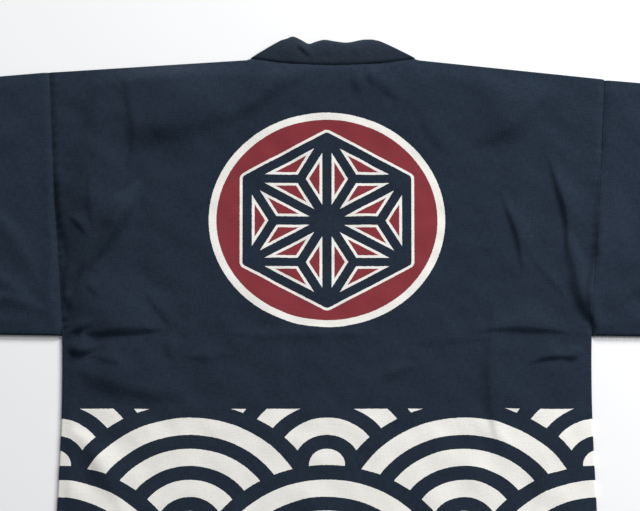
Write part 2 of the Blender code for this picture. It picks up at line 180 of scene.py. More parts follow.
# A fold runs from start over bend to end, each (x, down). Its crest has a width on the left and
# one on the right of that way, and a height, which is negative for a trough. Roll is how far the
# narrower side is a round edge with a sharp foot, from 0 to 1, and peak is where along the way it
# is highest and widest.
Fold = namedtuple("Fold", "name start bend end left right height roll peak", defaults=(0.0, 0.5))
FOLDS = [
    Fold("left armhole fall", (-0.262, 0.008), (-0.269, 0.200), (-0.289, 0.388), 0.07, 0.033, 0.011,
         peak=0.4),
    Fold("left underarm fall", (-0.262, 0.258), (-0.270, 0.320), (-0.282, 0.374), 0.04, 0.024, 0.0046),
    Fold("left armhole edge", (-0.317, 0.120), (-0.311, 0.241), (-0.302, 0.364), 0.009, 0.004, -0.0042,
         peak=0.6),
    Fold("left armhole line", (-0.275, 0.146), (-0.270, 0.190), (-0.273, 0.242), 0.014, 0.005, 0.0017),
    Fold("left armhole crisp", (-0.299, 0.199), (-0.287, 0.214), (-0.270, 0.243), 0.008, 0.002, 0.0015),
    Fold("left armhole slant", (-0.212, 0.160), (-0.241, 0.214), (-0.280, 0.288), 0.0078, 0.015, 0.0092,
         peak=0.45),
    Fold("left armhole slant low", (-0.276, 0.262), (-0.287, 0.289), (-0.296, 0.312), 0.004, 0.006, -0.0026),
    Fold("left armhole foot", (-0.293, 0.300), (-0.300, 0.322), (-0.306, 0.348), 0.0045, 0.006, -0.0028),
    Fold("left armhole low", (-0.312, 0.222), (-0.310, 0.290), (-0.308, 0.352), 0.007, 0.005, -0.0044,
         peak=0.6),
    Fold("left small crook", (-0.276, 0.289), (-0.268, 0.299), (-0.259, 0.314), 0.01, 0.004, 0.0015),
    Fold("left shoulder drop", (-0.236, 0.020), (-0.222, 0.095), (-0.230, 0.178), 0.03, 0.0075, 0.003),
    Fold("left shoulder slant", (-0.058, 0.047), (-0.140, 0.081), (-0.216, 0.095), 0.017, 0.045, 0.0038,
         peak=0.66),
    Fold("left shoulder broad", (-0.094, 0.055), (-0.172, 0.060), (-0.254, 0.112), 0.048, 0.11, 0.0086,
         peak=0.6),
    Fold("left side rise", (-0.150, -0.100), (-0.182, 0.070), (-0.182, 0.262), 0.12, 0.045, 0.0046,
         peak=0.45),
    Fold("left shoulder turn", (-0.180, 0.082), (-0.206, 0.098), (-0.232, 0.136), 0.015, 0.04, 0.0024),
    Fold("left neck", (-0.034, 0.010), (-0.064, 0.041), (-0.106, 0.087), 0.008, 0.02, 0.005, peak=0.42),
    Fold("left neck inner", (-0.008, 0.006), (-0.031, 0.024), (-0.060, 0.052), 0.006, 0.014, 0.0025),
    Fold("left side sag", (-0.210, 0.290), (-0.192, 0.316), (-0.177, 0.347), 0.018, 0.007, 0.0023),
    Fold("left side sag low", (-0.176, 0.342), (-0.181, 0.366), (-0.171, 0.391), 0.014, 0.006, 0.0017),
    Fold("left underarm thin", (-0.302, 0.350), (-0.284, 0.346), (-0.264, 0.337), 0.01, 0.0034, 0.0018),
    Fold("left underarm", (-0.288, 0.354), (-0.238, 0.348), (-0.184, 0.344), 0.05, 0.007, 0.0048,
         roll=0.4, peak=0.6),
    Fold("left underarm low", (-0.303, 0.359), (-0.284, 0.374), (-0.256, 0.363), 0.026, 0.0056, 0.0046,
         roll=0.5),
    Fold("left underarm trail", (-0.272, 0.379), (-0.252, 0.387), (-0.229, 0.393), 0.014, 0.006, 0.0017),
    Fold("left side slant", (-0.290, 0.392), (-0.235, 0.416), (-0.150, 0.432), 0.085, 0.016, 0.0056,
         peak=0.38),
    Fold("left patch", (-0.161, 0.380), (-0.136, 0.380), (-0.104, 0.380), 0.012, 0.0075, 0.0018),
    Fold("across crease left", (-0.130, 0.352), (-0.040, 0.352), (0.080, 0.353), 0.009, 0.008, 0.0013),
    Fold("across crease right", (0.075, 0.360), (0.136, 0.361), (0.190, 0.354), 0.008, 0.006, 0.0006),
    Fold("left packing crease", (-0.053, 0.330), (-0.054, 0.379), (-0.053, 0.450), 0.005, 0.0032, 0.0012),
    Fold("neck gather", (0.034, 0.008), (0.036, 0.032), (0.043, 0.061), 0.01, 0.004, 0.002),
    Fold("right neck", (0.045, 0.005), (0.050, 0.022), (0.058, 0.042), 0.012, 0.0038, 0.004),
    Fold("right neck outer", (0.058, 0.021), (0.070, 0.038), (0.089, 0.058), 0.014, 0.006, 0.0019),
    Fold("right disc edge", (0.107, 0.063), (0.123, 0.096), (0.139, 0.134), 0.02, 0.009, 0.0025),
    Fold("right shoulder slant", (0.166, 0.114), (0.217, 0.077), (0.270, 0.036), 0.05, 0.018, 0.0058),
    Fold("right armhole long", (0.250, 0.118), (0.274, 0.189), (0.274, 0.268), 0.016, 0.005, 0.0053,
         peak=0.55),
    Fold("right armhole long low", (0.273, 0.213), (0.291, 0.288), (0.310, 0.352), 0.015, 0.01, 0.0072,
         peak=0.62),
    Fold("right armhole slant", (0.198, 0.162), (0.215, 0.213), (0.227, 0.276), 0.014, 0.0044, 0.0039,
         peak=0.68),
    Fold("right armhole thin", (0.220, 0.228), (0.251, 0.275), (0.289, 0.328), 0.012, 0.0036, 0.0011),
    Fold("right armhole seam", (0.318, 0.105), (0.310, 0.240), (0.301, 0.374), 0.012, 0.005, 0.0066,
         peak=0.6),
    Fold("right underarm", (0.160, 0.350), (0.229, 0.343), (0.285, 0.356), 0.02, 0.0056, 0.0033, roll=0.2),
    Fold("right underarm low", (0.225, 0.393), (0.256, 0.382), (0.291, 0.385), 0.014, 0.0032, 0.0026,
         roll=0.4),
    Fold("right side slant", (0.294, 0.371), (0.283, 0.379), (0.269, 0.389), 0.005, 0.01, 0.0024),
    Fold("right packing crease", (0.194, 0.303), (0.189, 0.379), (0.196, 0.500), 0.028, 0.0095, 0.0043,
         peak=0.72),
    Fold("right low slant", (0.058, 0.413), (0.080, 0.401), (0.106, 0.389), 0.012, 0.005, 0.0022),
    Fold("shoulder rise", (-0.330, 0.046), (0.000, 0.036), (0.330, 0.046), 0.07, 0.09, 0.0044),
    Fold("hem sway left", (-0.240, 0.560), (-0.200, 0.690), (-0.215, 0.830), 0.03, 0.024, 0.0036),
    Fold("hem sway right", (0.130, 0.600), (0.165, 0.710), (0.150, 0.830), 0.024, 0.028, 0.0033),
    Fold("left side low", (-0.296, 0.470), (-0.262, 0.520), (-0.222, 0.600), 0.018, 0.008, 0.0027),
    Fold("right side low", (0.300, 0.440), (0.262, 0.505), (0.238, 0.610), 0.008, 0.02, 0.0028),
    Fold("middle sway", (-0.030, 0.520), (-0.012, 0.640), (-0.035, 0.790), 0.026, 0.016, 0.002),
    Fold("across crease low", (-0.250, 0.640), (0.000, 0.643), (0.240, 0.638), 0.006, 0.0036, 0.0007),
    Fold("left sleeve lie", (-0.330, 0.060), (-0.430, 0.130), (-0.560, 0.120), 0.018, 0.026, 0.0036),
    Fold("left sleeve sag", (-0.318, 0.332), (-0.420, 0.262), (-0.560, 0.240), 0.022, 0.01, 0.0039),
    Fold("left sleeve seam", (-0.314, 0.212), (-0.309, 0.282), (-0.305, 0.348), 0.006, 0.013, 0.0032,
         peak=0.6),
    Fold("left sleeve pull", (-0.322, 0.312), (-0.372, 0.215), (-0.450, 0.150), 0.02, 0.008, 0.0028),
    Fold("left sleeve underarm", (-0.316, 0.325), (-0.385, 0.306), (-0.470, 0.318), 0.012, 0.005, 0.0028,
         roll=0.3),
    Fold("left sleeve elbow", (-0.455, 0.055), (-0.486, 0.150), (-0.470, 0.260), 0.016, 0.007, 0.002),
    Fold("right sleeve lie", (0.330, 0.070), (0.450, 0.110), (0.570, 0.160), 0.018, 0.03, 0.0034),
    Fold("right sleeve sag", (0.316, 0.330), (0.410, 0.275), (0.540, 0.285), 0.024, 0.009, 0.0039),
    Fold("right sleeve seam", (0.331, 0.140), (0.328, 0.236), (0.322, 0.330), 0.02, 0.014, 0.004),
    Fold("right sleeve pull", (0.326, 0.306), (0.380, 0.200), (0.430, 0.105), 0.008, 0.018, 0.0027),
    Fold("right sleeve elbow", (0.500, 0.075), (0.478, 0.180), (0.505, 0.300), 0.007, 0.018, 0.0022),
]


def smooth(t):
    """A soft step: 0 up to 0, 1 from 1 on."""
    t = np.clip(t, 0.0, 1.0)
    return t * t * (3.0 - 2.0 * t)


def through(rows, at):
    """The second column of a table at a value of its first, on a smooth line through the rows."""
    known, value = np.array(rows, float).T
    slope = np.gradient(value, known)
    at = np.clip(at, known[0], known[-1])
    k = np.clip(np.searchsorted(known, at, side="right") - 1, 0, len(known) - 2)
    span = known[k + 1] - known[k]
    t = (at - known[k]) / span
    ends = (1 + 2 * t) * (1 - t) ** 2 * value[k] + t * t * (3 - 2 * t) * value[k + 1]
    return ends + span * (t * (1 - t) ** 2 * slope[k] - t * t * (1 - t) * slope[k + 1])


def half_width(down):
    """Half the width of the body."""
    return through(SIDE_LINE, down)


def neck_offset(x):
    """Distance from the collar's middle, as a share of the neck's half width."""
    return (x - COLLAR_SHIFT) / NECK_HALF


def top_line(x):
    """How far down the back's top edge lies: the neck seam in the middle, a shoulder on each side."""
    reach = np.abs(neck_offset(x))
    fall = np.where(x < 0, SHOULDER_FALL[-1], SHOULDER_FALL[1])
    shoulder = fall * (np.abs(x - COLLAR_SHIFT) - NECK_HALF) / (half_width(0.0) - NECK_HALF)
    return np.where(reach < 1, NECK_DIP * (1 - reach**2), shoulder)


def fold_path(fold, steps=16):
    """Points along the fold, on a curve that passes through its bend."""
    t = np.linspace(0, 1, steps + 1)[:, None]
    start, bend, end = (np.array(place) for place in (fold.start, fold.bend, fold.end))
    pull = 2 * bend - (start + end) / 2
    return (1 - t) ** 2 * start + 2 * t * (1 - t) * pull + t * t * end


def fold_lift(fold, x, down):
    """Height that one fold adds: a soft crest, fading out at both ends of its path."""
    path = fold_path(fold)
    margin = 3 * max(fold.left, fold.right)
    low, high = path.min(0) - margin, path.max(0) + margin
    near = (x > low[0]) & (x < high[0]) & (down > low[1]) & (down < high[1])
    lift = np.zeros(x.shape)
    x, down = x[near], down[near]
    nearest = np.full(x.shape, 1e9)
    side = np.ones(x.shape)
    along = np.zeros(x.shape)
    for k, (a, b) in enumerate(zip(path[:-1], path[1:])):
        way = b - a
        t = np.clip(((x - a[0]) * way[0] + (down - a[1]) * way[1]) / (way @ way), 0, 1)
        off_x, off_down = x - a[0] - t * way[0], down - a[1] - t * way[1]
        away = np.hypot(off_x, off_down)
        closer = away < nearest
        nearest = np.where(closer, away, nearest)
        side = np.where(closer, way[1] * off_x - way[0] * off_down, side)
        along = np.where(closer, (k + t) / (len(path) - 1), along)
    fade = smooth(along / fold.peak) * smooth((1 - along) / (1 - fold.peak))
    width = np.where(side > 0, fold.left, fold.right) * (FOLD_TIP + (1 - FOLD_TIP) * fade)
    reach = nearest / width
    soft = np.exp(-(reach**2))
    rolled = np.sqrt(np.maximum(1 - (reach / 1.25) ** 2, 0))
    narrow = (side > 0) == (fold.left < fold.right)
    crest = np.where(narrow, soft + (rolled - soft) * fold.roll, soft)
    lift[near] = fold.height * fade**FOLD_FULLNESS * crest
    return lift


def crumple(x, down, seed=5, count=26):
    """Faint uneven waviness, from sine waves in random directions."""
    draw = np.random.default_rng(seed)
    total = np.zeros(np.shape(x))
    for _ in range(count):
        length = draw.uniform(*CRUMPLE_WAVES)
        turn, start = draw.uniform(0, 2 * pi, 2)
        total += sin_of(x * cos(turn) + down * sin(turn), length, start) * length
    return CRUMPLE * total / (CRUMPLE_WAVES[1] * np.sqrt(count / 6))


def sin_of(place, length, start=0.0):
    """A sine wave of that length."""
    return np.sin(2 * pi * place / length + start)


def cloth_top(x, down):
    """Height of the upper layer over the surface the garment lies on, away from its edges."""
    x, down = np.broadcast_arrays(np.asarray(x, float), np.asarray(down, float))
    sway = np.sin(2 * pi * x / SWAY_ACROSS + 1) * np.cos(2 * pi * down / SWAY_DOWN)
    at_neck = np.exp(-(((x - COLLAR_SHIFT) / NECK_LIFT_ACROSS) ** 2) - (down / NECK_LIFT_DOWN) ** 2)
    lift = REST_LIFT * (1 + REST_SWAY * sway) + NECK_LIFT * at_neck + crumple(x, down)
    first, second = FOLD_STRAY_WAVES
    stray_x = x + FOLD_STRAY * (sin_of(down, second) + 0.6 * sin_of(down + 0.7 * x, first, 2.0))
    stray_down = down + FOLD_STRAY * (sin_of(x, second, 1.0) + 0.6 * sin_of(x - 0.8 * down, first))
    for fold in FOLDS:
        lift = lift + fold_lift(fold, stray_x, stray_down)
    return LAYER_TOP + np.maximum(lift, 0.0)


def edge_drop(inset, seamed, depth=SEAM_GROOVE):
    """How far the upper layer sinks near an edge: a groove where it is seamed flat, else a roll."""
    short = np.maximum(1 - inset / EDGE_ROLL, 0)
    roll = ROLL_DEPTH * (1 - np.sqrt(1 - short**2))
    groove = depth * np.exp(-((inset / GROOVE_REACH) ** 2))
    return seamed * groove + (1 - seamed) * roll


def pucker(inset, along):
    """Little ripples beside a seam, uneven along it."""
    uneven = 0.6 + 0.4 * sin_of(along, 0.071, 1.0) * sin_of(along, 0.043)
    wave = sin_of(along + 0.002 * sin_of(along, 0.031), PUCKER_WAVE)
    return PUCKER * uneven * wave * np.exp(-((inset / PUCKER_REACH) ** 2))


def place(x, down, z):
    """A point of the garment in the world."""
    y = HEM_Y + BODY_LENGTH - np.asarray(down, float)
    return np.stack(np.broadcast_arrays(x, y, z), axis=-1)


def spaced(*stretches):
    """Values along a line, from stretches that each have a start, an end and a cell."""
    runs = [
        np.linspace(start, end, max(1, round((end - start) / cell)), endpoint=False)
        for start, end, cell in stretches
    ]
    return np.concatenate([*runs, [stretches[-1][1]]])


def cloth_piece(name, points, cut, wall, material, ring=False, turned=False):
    """A cloth wall through a grid of points on its outer face, with its place on the cut as its map.

    With ring, each row closes on itself, and cut has one column more. With turned, the outer face
    is the other side.
    """
    rows, columns = points.shape[:2]
    index = np.arange(rows * columns).reshape(rows, columns)
    after = np.roll(index, -1, axis=1) if ring else index[:, 1:]
    before = index if ring else index[:, :-1]
    quads = np.stack([before[:-1], before[1:], after[1:], after[:-1]], axis=-1).reshape(-1, 4)
    corners = np.stack([cut[:-1, :-1], cut[1:, :-1], cut[1:, 1:], cut[:-1, 1:]], axis=2)
    corners = corners.reshape(-1, 4, 2)
    if turned:
        quads, corners = quads[:, ::-1], corners[:, ::-1]
    mesh = bpy.data.meshes.new(name)
    mesh.from_pydata(points.reshape(-1, 3).tolist(), [], quads.tolist())
    mesh.uv_layers.new(name="cut").data.foreach_set("uv", corners.astype(np.float32).ravel())
    mesh.shade_smooth()
    mesh.materials.append(material)
    piece = bpy.data.objects.new(name, mesh)
    bpy.context.scene.collection.objects.link(piece)
    thickness = piece.modifiers.new("Wall", "SOLIDIFY")
    thickness.thickness = wall
    thickness.offset = -1.0
    return piece


def hem_step(inset):
    """Height that the turned hem adds up to its stitched edge."""
    return HEM_STEP * smooth((HEM_TURN - inset) / HEM_STEP_WIDE + 0.5)


def back_face(column, row):
    """X, down and height of the back's outer face: rolled down to the fronts at shoulders, sides and
    hem, flat at the armholes. A column is x at the shoulders, a row is how far below the top edge.
    """
    side = half_width(0.0)
    in_neck = (np.abs(neck_offset(column)) < 1.001).astype(float)
    down = row + top_line(column) * (1 - smooth(row / BODY_LENGTH))
    x = column / side * half_width(down)
    to_side, to_hem = side - np.abs(column), BODY_LENGTH - row
    armhole = 1 - smooth((down - UNDERARM) / UNDERARM_BLEND + 0.3)
    lift = cloth_top(x, down) - LAYER_TOP
    lift = lift * (armhole + (1 - armhole) * smooth(to_side / EDGE_EASE))
    shoulder = np.sin(pi / 2 * np.clip(row / SHOULDER_EASE, 0, 1))
    held_up = NECK_SHARE * in_neck
    lift = lift * (held_up + (1 - held_up) * shoulder) * smooth(to_hem / EDGE_EASE)
    lift = lift + pucker(to_side, down) * armhole + pucker(row, x) * in_neck + hem_step(to_hem)
    drop = np.maximum(edge_drop(to_side, armhole), edge_drop(row, in_neck, NECK_GROOVE))
    over_collar = LAYER_TOP - FRONT_CLOTH - SEAM - BAND
    drop = np.maximum(drop, np.minimum(edge_drop(to_hem, 0.0), over_collar))
    return x, down, LAYER_TOP + lift - drop


# Cells of the back's mesh. Beside an edge they follow its roll. Elsewhere they are close together
# where the armhole's folds and the creases below it lie, and wide over the smooth skirt.
ROLL_STEPS = (0.0, 0.0006, 0.0013, EDGE_ROLL, 0.0045)
ROLL_END = 0.007
ARMHOLE_FOLDS = 0.15
ARMHOLE_CELL = 0.0023
MIDDLE_CELL = 0.0040
Stretch = namedtuple("Stretch", "start end cell")
BACK_ROWS = [
    Stretch(ROLL_END, 0.06, 0.0028),
    Stretch(0.06, 0.31, 0.0029),
    Stretch(0.31, 0.40, 0.0019),
    Stretch(0.40, 0.48, 0.0045),
]
SKIRT = Stretch(0.489, BODY_LENGTH - HEM_TURN - 0.003, 0.011)


def make_back(material):
    """The back panel."""
    side = half_width(0.0)
    left, right = COLLAR_SHIFT - NECK_HALF, COLLAR_SHIFT + NECK_HALF
    columns = np.concatenate([
        [-side + step for step in ROLL_STEPS],
        spaced(
            (-side + ROLL_END, -ARMHOLE_FOLDS, ARMHOLE_CELL),
            (-ARMHOLE_FOLDS, left - NECK_CORNER, MIDDLE_CELL),
        ),
        spaced((left, right, MIDDLE_CELL)),
        spaced(
            (right + NECK_CORNER, ARMHOLE_FOLDS, MIDDLE_CELL),
            (ARMHOLE_FOLDS, side - ROLL_END, ARMHOLE_CELL),
        ),
        [side - step for step in ROLL_STEPS[::-1]],
    ])
    rows = np.concatenate([
        ROLL_STEPS,
        spaced(*BACK_ROWS),
        spaced(SKIRT),
        BODY_LENGTH - HEM_TURN + np.array([-HEM_STEP_WIDE, 0.0, HEM_STEP_WIDE]),
        [BODY_LENGTH - 2 * ROLL_END, BODY_LENGTH - ROLL_END],
        [BODY_LENGTH - step for step in ROLL_STEPS[::-1]],
    ])
    x, down, z = back_face(*np.meshgrid(columns, rows))
    return cloth_piece("back_cloth", place(x, down, z), np.stack([x, down], axis=-1), CLOTH, material)


def collar_middle(down):
    """The collar lies a little to the right at the neck, and in the middle at the hem."""
    return COLLAR_SHIFT * (1 - np.maximum(down, 0) / BODY_LENGTH)


def band_seam(down, side):
    """X of the seam between a front and the collar."""
    opened = np.maximum(1 - down / NECKLINE_END, 0) ** NECKLINE_CURVE
    return collar_middle(down) + side * (COLLAR_SEAM_HALF + (NECK_HALF - COLLAR_SEAM_HALF) * opened)


def band_edge(down, side):
    """X of the collar's free edge on a front."""
    corner_x, corner_down = COLLAR_CORNER[side]
    opened = np.maximum(1 - (down - corner_down) / (NECKLINE_END - corner_down), 0) ** NECKLINE_CURVE
    closed = side * FRONT_GAP_HALF
    return collar_middle(down) + closed + (corner_x - COLLAR_SHIFT - closed) * opened


def make_front(word, side, material):
    """A front panel, face down on the surface."""
    fall = SHOULDER_FALL[side]
    row, share = np.meshgrid(spaced((0.0, BODY_LENGTH, 0.012)), np.linspace(0, 1, 25), indexing="ij")
    outer_down = fall + row * (1 - fall / BODY_LENGTH)
    inner = band_seam(row, side) + side * SEAM
    x = inner + (side * half_width(outer_down) - inner) * share
    down = row + (outer_down - row) * share
    cut = np.stack([x, down], axis=-1)
    points = place(x, down, 0.0)
    return cloth_piece(f"front_{word}_cloth", points, cut, FRONT_CLOTH, material, turned=side > 0)


def sleeve_ring(side, along):
    """Points round the sleeve's outer face, that share of the way from the armhole to the cuff: over
    the top from the fold to the underarm seam, and back below, flat.
    """
    fall = SHOULDER_FALL[side]
    depth = UNDERARM - fall
    inset = along * SLEEVE_LENGTH

    def plan(t):
        """A place from the fold at 0 to the underarm seam at 1."""
        down = fall + t * depth
        armhole = np.array([side * (half_width(down) + SEAM), down])
        reach = side * (half_width(0.0) + SLEEVE_LENGTH - CUFF_SLANT * t)
        cuff = np.array([reach, fall + CUFF_FALL + t * CUFF_DEPTH])
        return armhole + (cuff - armhole) * along

    height = LAYER_TOP - SEAM_GROOVE * np.exp(-((inset / GROOVE_REACH) ** 2))
    radius = height / 2
    bend = np.linspace(0, pi, 7)[1:-1]
    tuck = radius / np.linalg.norm(plan(1.0) - plan(0.0))
    outward = (plan(1.0) - plan(0.0)) * tuck
    upper = spaced((SLEEVE_MARGIN, depth - SLEEVE_MARGIN, 0.0042))
    flat = np.array([plan(step / depth) for step in upper])
    lift = cloth_top(flat[:, 0], flat[:, 1]) - LAYER_TOP
    lift = lift * smooth(np.minimum(upper, depth - upper) / EDGE_EASE)
    lift = lift + pucker(inset, flat[:, 1]) + hem_step(SLEEVE_LENGTH - inset)
    ring = [(x, down, height + up) for (x, down), up in zip(flat, lift)]
    ring.append((*plan(1 - tuck), height))
    ring += [(*(plan(1 - tuck) + outward * sin(a)), radius * (1 + cos(a))) for a in bend]
    ring += [(*plan(t), 0.0) for t in np.linspace(1 - tuck, tuck, 30)]
    ring += [(*(plan(tuck) - outward * sin(a)), radius * (1 - cos(a))) for a in bend]
    ring.append((*plan(tuck), height))
    return np.array(ring)


def make_sleeve(word, side, material):
    """A sleeve: a flat tube from the armhole to the open cuff, flat below and folded at its top."""
    hem = 1 - HEM_TURN / SLEEVE_LENGTH
    sections, cuts = [], []
    for along in [0.0, 0.004, 0.009, *spaced((0.018, hem - 0.006, 0.0125)), hem - 0.002, hem + 0.002,
                  *spaced((hem + 0.01, 1.0, 0.012))]:
        ring = sleeve_ring(side, along)
        steps = np.linalg.norm(np.diff(np.vstack([ring, ring[:1]]), axis=0), axis=1)
        girth = np.concatenate([[0.0], np.cumsum(steps)]) + SLEEVE_MARGIN
        sections.append(place(ring[:, 0], ring[:, 1], ring[:, 2]))
        reach = np.full(girth.shape, side * (half_width(0.0) + along * SLEEVE_LENGTH))
        cuts.append(np.stack([reach, girth], axis=-1))
    return cloth_piece(f"sleeve_{word}_cloth", np.array(sections), np.array(cuts), CLOTH, material,
                       ring=True, turned=side > 0)


# Where the collar's free edge lies on the back neck, from its left corner at -1 to its right at 1.
EdgePlace = namedtuple("EdgePlace", "share down")
COLLAR_EDGE = [
    EdgePlace(-1.00, COLLAR_CORNER[-1][1]),
    EdgePlace(-0.88, -0.0287),
    EdgePlace(-0.70, -0.0250),
    EdgePlace(-0.50, -0.0190),
    EdgePlace(-0.34, -0.0218),
    EdgePlace(-0.16, -0.0243),
    EdgePlace(0.10, -0.0225),
    EdgePlace(0.36, -0.0208),
    EdgePlace(0.80, -0.0248),
    EdgePlace(1.00, COLLAR_CORNER[1][1]),
]

# Folds of the collar at the back neck
COLLAR_FOLDS = [
    Fold("collar crease", (-0.036, -0.017), (-0.026, -0.010), (-0.017, 0.003), 0.009, 0.0026, 0.002,
         peak=0.3),
    Fold("collar left rise", (-0.062, -0.006), (-0.045, -0.014), (-0.036, -0.026), 0.01, 0.012, 0.0009),
    Fold("collar middle", (-0.002, -0.020), (0.004, -0.010), (0.004, 0.002), 0.006, 0.009, 0.0005),
    Fold("collar right", (0.040, -0.022), (0.034, -0.012), (0.040, 0.000), 0.008, 0.006, 0.0006),
]

# Height of the collar's outer face where it turns over at the neck points, and at the middle of
# the back neck, from the seam to the free edge.
Arch = namedtuple("Arch", "across turn middle")
ARCH = [
    Arch(0.00, 0.0042, 0.0044),
    Arch(0.05, 0.0056, 0.0061),
    Arch(0.12, 0.0062, 0.0068),
    Arch(0.30, 0.0070, 0.0075),
    Arch(0.52, 0.0075, 0.0081),
    Arch(0.74, 0.0073, 0.0081),
    Arch(0.90, 0.0064, 0.0074),
    Arch(1.00, 0.0050, 0.0056),
]


def make_collar(material):
    """The collar: up one front edge, over at the neck point, across the back neck and down again."""
    edge = np.array([0.0, 0.02, 0.045, 0.075])
    across = np.concatenate([edge, np.linspace(0.11, 0.89, 16), 1 - edge[::-1]])
    corner_round = smooth((1 - across) / CORNER_ROUND)
    turn = through([(row.across, row.turn) for row in ARCH], across)
    middle = through([(row.across, row.middle) for row in ARCH], across)
    rows = spaced((0.0, NECKLINE_END, 0.006), (NECKLINE_END, BODY_LENGTH, 0.012))
    sections = {-1: [], 1: []}
    for side in (-1, 1):
        for row in rows[::-1]:
            share = min(row / NECKLINE_END, 1.0)
            edge_down = row + COLLAR_CORNER[side][1] * (1 - share)
            seam_end = np.array([band_seam(row, side), row - SEAM * (1 - share)])
            free_end = np.array([band_edge(edge_down, side), edge_down])
            line = seam_end + (free_end - seam_end) * across[:, None]
            sections[side].append(place(line[:, 0], line[:, 1], 0.0))
        crease = free_end - seam_end
        outward = np.array([-crease[1], crease[0]]) * side / np.linalg.norm(crease)
        for angle in np.linspace(0, pi, 12)[1:]:
            bulge = line + outward * (TURN_BULGE * corner_round[:, None] * sin(angle))
            sections[side].append(place(bulge[:, 0], bulge[:, 1], turn / 2 * (1 - cos(angle))))
    back = []
    left, right = COLLAR_CORNER[-1][0], COLLAR_CORNER[1][0]
    for share in np.linspace(-1, 1, 101)[1:-1]:
        seam_end = np.array([COLLAR_SHIFT + share * NECK_HALF, NECK_DIP * (1 - share**2) - SEAM])
        free_end = np.array([left + (right - left) * (share + 1) / 2, through(COLLAR_EDGE, share)])
        x, down = (seam_end + (free_end - seam_end) * across[:, None]).T
        height = turn + (middle - turn) * (1 - share**4)
        height = height + sum(fold_lift(fold, x, down) for fold in COLLAR_FOLDS)
        back.append(place(x, down, height))
    points = np.array(sections[-1] + back + sections[1][::-1])
    seam_run = np.concatenate([[0.0], np.cumsum(np.linalg.norm(np.diff(points[:, 0], axis=0), axis=1))])
    wide = np.linalg.norm(points[:, -1] - points[:, 0], axis=1)
    cut = np.stack(np.broadcast_arrays(across * wide[:, None], seam_run[:, None]), axis=-1)
    return cloth_piece("collar_cloth", points, cut, BAND, material)


def linear(hex_colour):
    """A colour written in sRGB hex, as the linear values that a shader takes."""
    channels = [int(hex_colour[k : k + 2], 16) / 255 for k in (0, 2, 4)]
    return (*(c / 12.92 if c <= 0.04045 else ((c + 0.055) / 1.055) ** 2.4 for c in channels), 1.0)


def add(tree, kind, *inputs, **settings):
    """Adds a shader node. An input is a value, an output, or a node, whose first output it takes."""
    made = tree.nodes.new("ShaderNode" + kind)
    for name, value in settings.items():
        setattr(made, name, value)
    for socket, value in zip([s for s in made.inputs if s.enabled], inputs):
        if isinstance(value, bpy.types.Node):
            value = next(s for s in value.outputs if s.enabled)
        if isinstance(value, bpy.types.NodeSocket):
            tree.links.new(value, socket)
        else:
            socket.default_value = value
    return made


def scaled(tree, vector, factor):
    """A vector or colour times a number."""
    made = add(tree, "VectorMath", vector, operation="SCALE")
    factor = factor.outputs[0] if isinstance(factor, bpy.types.Node) else factor
    if isinstance(factor, bpy.types.NodeSocket):
        tree.links.new(factor, made.inputs["Scale"])
    else:
        made.inputs["Scale"].default_value = factor
    return made


def wave_print(tree, x, down):
    """1 on the cream bands of the waves: rows of overlapping circles, each row over the one above.

    A circle has eight bands, cream and navy in turn, and the outermost is navy.
    """
    first_row = add(tree, "Math", down, WAVE_RADIUS - WAVE_FIRST_DOWN, operation="ADD")
    first_row = add(tree, "Math", first_row, WAVE_RADIUS / 2, operation="DIVIDE")
    first_row = add(tree, "Math", first_row, operation="FLOOR")
    away = None
    for behind in (2, 1, 0):
        row = add(tree, "Math", first_row, behind, operation="SUBTRACT")
        centre = add(tree, "Math", row, WAVE_RADIUS / 2, WAVE_FIRST_DOWN, operation="MULTIPLY_ADD")
        odd = add(tree, "Math", row, 2.0, operation="FLOORED_MODULO")
        shifted = add(tree, "Math", odd, -WAVE_RADIUS, x, operation="MULTIPLY_ADD")
        off_x = add(tree, "Math", shifted, WAVE_RADIUS, -WAVE_RADIUS, operation="WRAP")
        off_down = add(tree, "Math", down, centre, operation="SUBTRACT")
        offset = add(tree, "CombineXYZ", off_x, off_down)
        distance = add(tree, "VectorMath", offset, operation="LENGTH")
        if away is None:
            away = distance
        else:
            inside = add(tree, "Math", distance, WAVE_RADIUS, operation="LESS_THAN")
            away = add(tree, "Mix", inside, away, distance)
    spread = add(tree, "Math", away, WAVE_BLEED, operation="ADD")
    band = add(tree, "Math", spread, 2 * WAVE_BAND, operation="FLOORED_MODULO")
    cream = add(tree, "Math", band, WAVE_BAND + 2 * WAVE_BLEED, operation="LESS_THAN")
    last_cream = 7 * WAVE_BAND + WAVE_BLEED
    inner = add(tree, "Math", away, last_cream, operation="LESS_THAN")
    below = add(tree, "Math", down, WAVES_TOP, operation="GREATER_THAN")
    shown = add(tree, "Math", cream, inner, operation="MULTIPLY")
    return add(tree, "Math", shown, below, operation="MULTIPLY")


